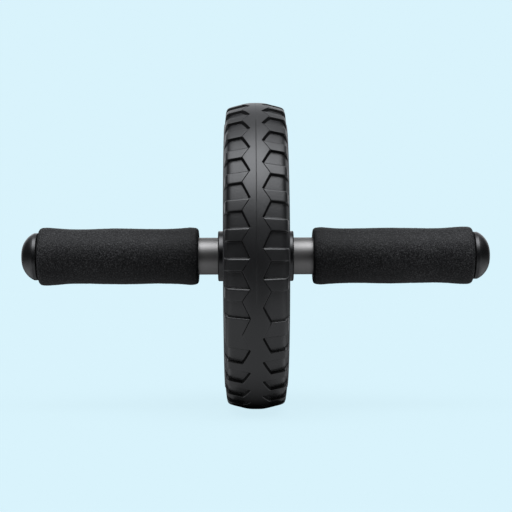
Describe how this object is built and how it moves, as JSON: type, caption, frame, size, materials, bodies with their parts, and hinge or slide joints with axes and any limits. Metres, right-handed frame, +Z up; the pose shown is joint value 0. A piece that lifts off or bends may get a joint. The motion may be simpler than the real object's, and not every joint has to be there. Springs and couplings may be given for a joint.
{
  "type": "ab wheel roller",
  "caption": "Ab wheel roller: a wide rubber-tyred wheel spinning freely on a steel axle tube, with a contoured foam grip and a domed end cap on each side.",
  "frame": {"origin": "centre of the wheel, on the axle's axis, which is also the centre of the whole part", "axes": "+X along the axle towards the right hand grip, +Z up, -Y towards the front"},
  "size_m": [0.3164, 0.206, 0.206],
  "materials": {
    "tyre_rubber": "satin",
    "rim_plastic": "satin",
    "screw_steel": "satin",
    "bush_plastic": "gloss",
    "tube_steel": "satin",
    "washer_steel": "satin",
    "spring_steel": "satin",
    "grip_foam": "matte",
    "cap_plastic": "gloss"
  },
  "bodies": {
    "axle": {"axle_tube": "tube_steel", "left_thrust_washer": "washer_steel", "right_thrust_washer": "washer_steel", "left_snap_ring": "spring_steel", "right_snap_ring": "spring_steel", "left_grip": "grip_foam", "right_grip": "grip_foam", "left_end_cap": "cap_plastic", "right_end_cap": "cap_plastic"},
    "wheel": {"tyre": "tyre_rubber", "left_rim_half": "rim_plastic", "right_rim_half": "rim_plastic", "rim_screws": "screw_steel", "left_hub_bush": "bush_plastic", "right_hub_bush": "bush_plastic"}
  },
  "joints": [
    {"name": "wheel_spin", "type": "hinge", "parent": "axle", "child": "wheel", "pos_m": [0, 0, 0], "axis": [1, 0, 0], "continuous": true}
  ]
}
